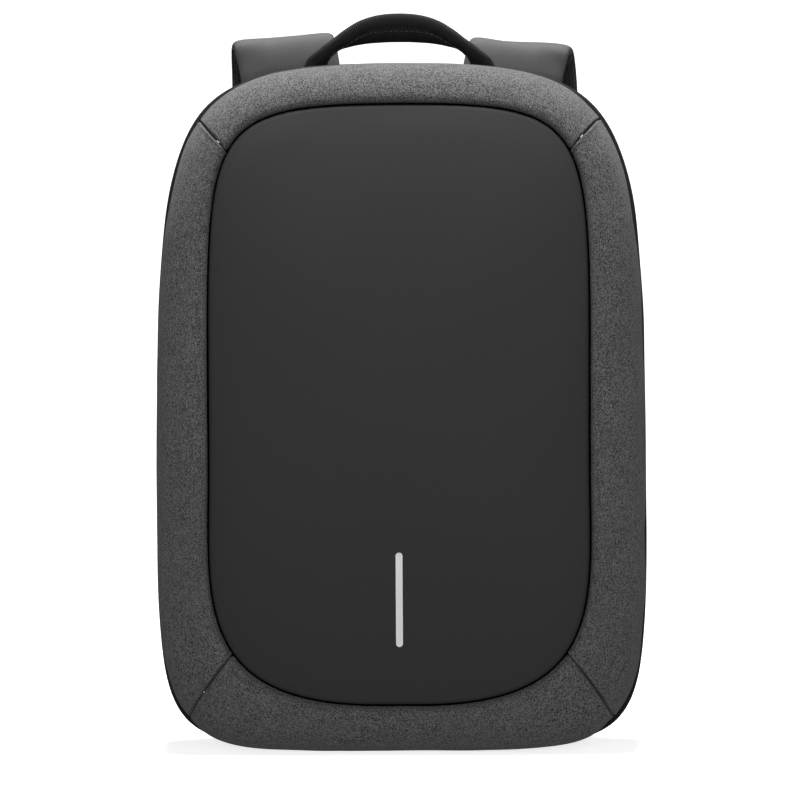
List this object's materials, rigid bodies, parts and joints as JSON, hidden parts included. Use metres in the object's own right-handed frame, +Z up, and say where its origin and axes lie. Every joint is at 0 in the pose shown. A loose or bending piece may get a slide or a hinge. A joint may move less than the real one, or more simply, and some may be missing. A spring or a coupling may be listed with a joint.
{
  "type": "anti theft backpack",
  "caption": "Upright rectangular backpack with a smooth front panel framed by melange fabric, a zip hidden at the back, padded shoulder straps, a webbing grab handle and a reflective strip.",
  "frame": {"origin": "middle of the floor that the bag covers, at the height of its base", "axes": "+Z up, the front panel faces -Y, the shoulder straps are on the +Y side, +X is to the right as seen from the front"},
  "size_m": [0.3, 0.1988, 0.4526],
  "materials": {
    "front_shell": "fine dark grey weave over a padded shell, smooth and slightly satin",
    "melange_polyester": "grey melange woven polyester, matte",
    "coated_fabric": "black coated polyester, matte",
    "spacer_mesh": "black air mesh over foam, matte",
    "zip_tape": "black reverse-coil zip tape",
    "zip_slider": "black painted slider and pull",
    "reflective_film": "light grey reflective film, satin",
    "handle_webbing": "black ribbed webbing, folded and stitched",
    "strap_cover": "grey smooth padded strap cover",
    "strap_webbing": "black flat webbing",
    "lock_plastic": "black moulded plastic"
  },
  "bodies": {
    "root": {"front_panel": "front_shell", "top_panel": "melange_polyester", "bottom_panel": "melange_polyester", "left_side_panel": "melange_polyester", "right_side_panel": "melange_polyester", "rear_gusset": "coated_fabric", "back_panel": "spacer_mesh", "main_zip": "zip_tape", "zip_slider": "zip_slider", "reflective_strip": "reflective_film", "grab_handle": "handle_webbing", "left_shoulder_strap": "strap_cover", "left_strap_loop": "strap_webbing", "left_ladder_lock": "lock_plastic", "left_webbing": "strap_webbing", "left_sewn_tab": "coated_fabric", "right_shoulder_strap": "strap_cover", "right_strap_loop": "strap_webbing", "right_ladder_lock": "lock_plastic", "right_webbing": "strap_webbing", "right_sewn_tab": "coated_fabric"}
  },
  "joints": []
}
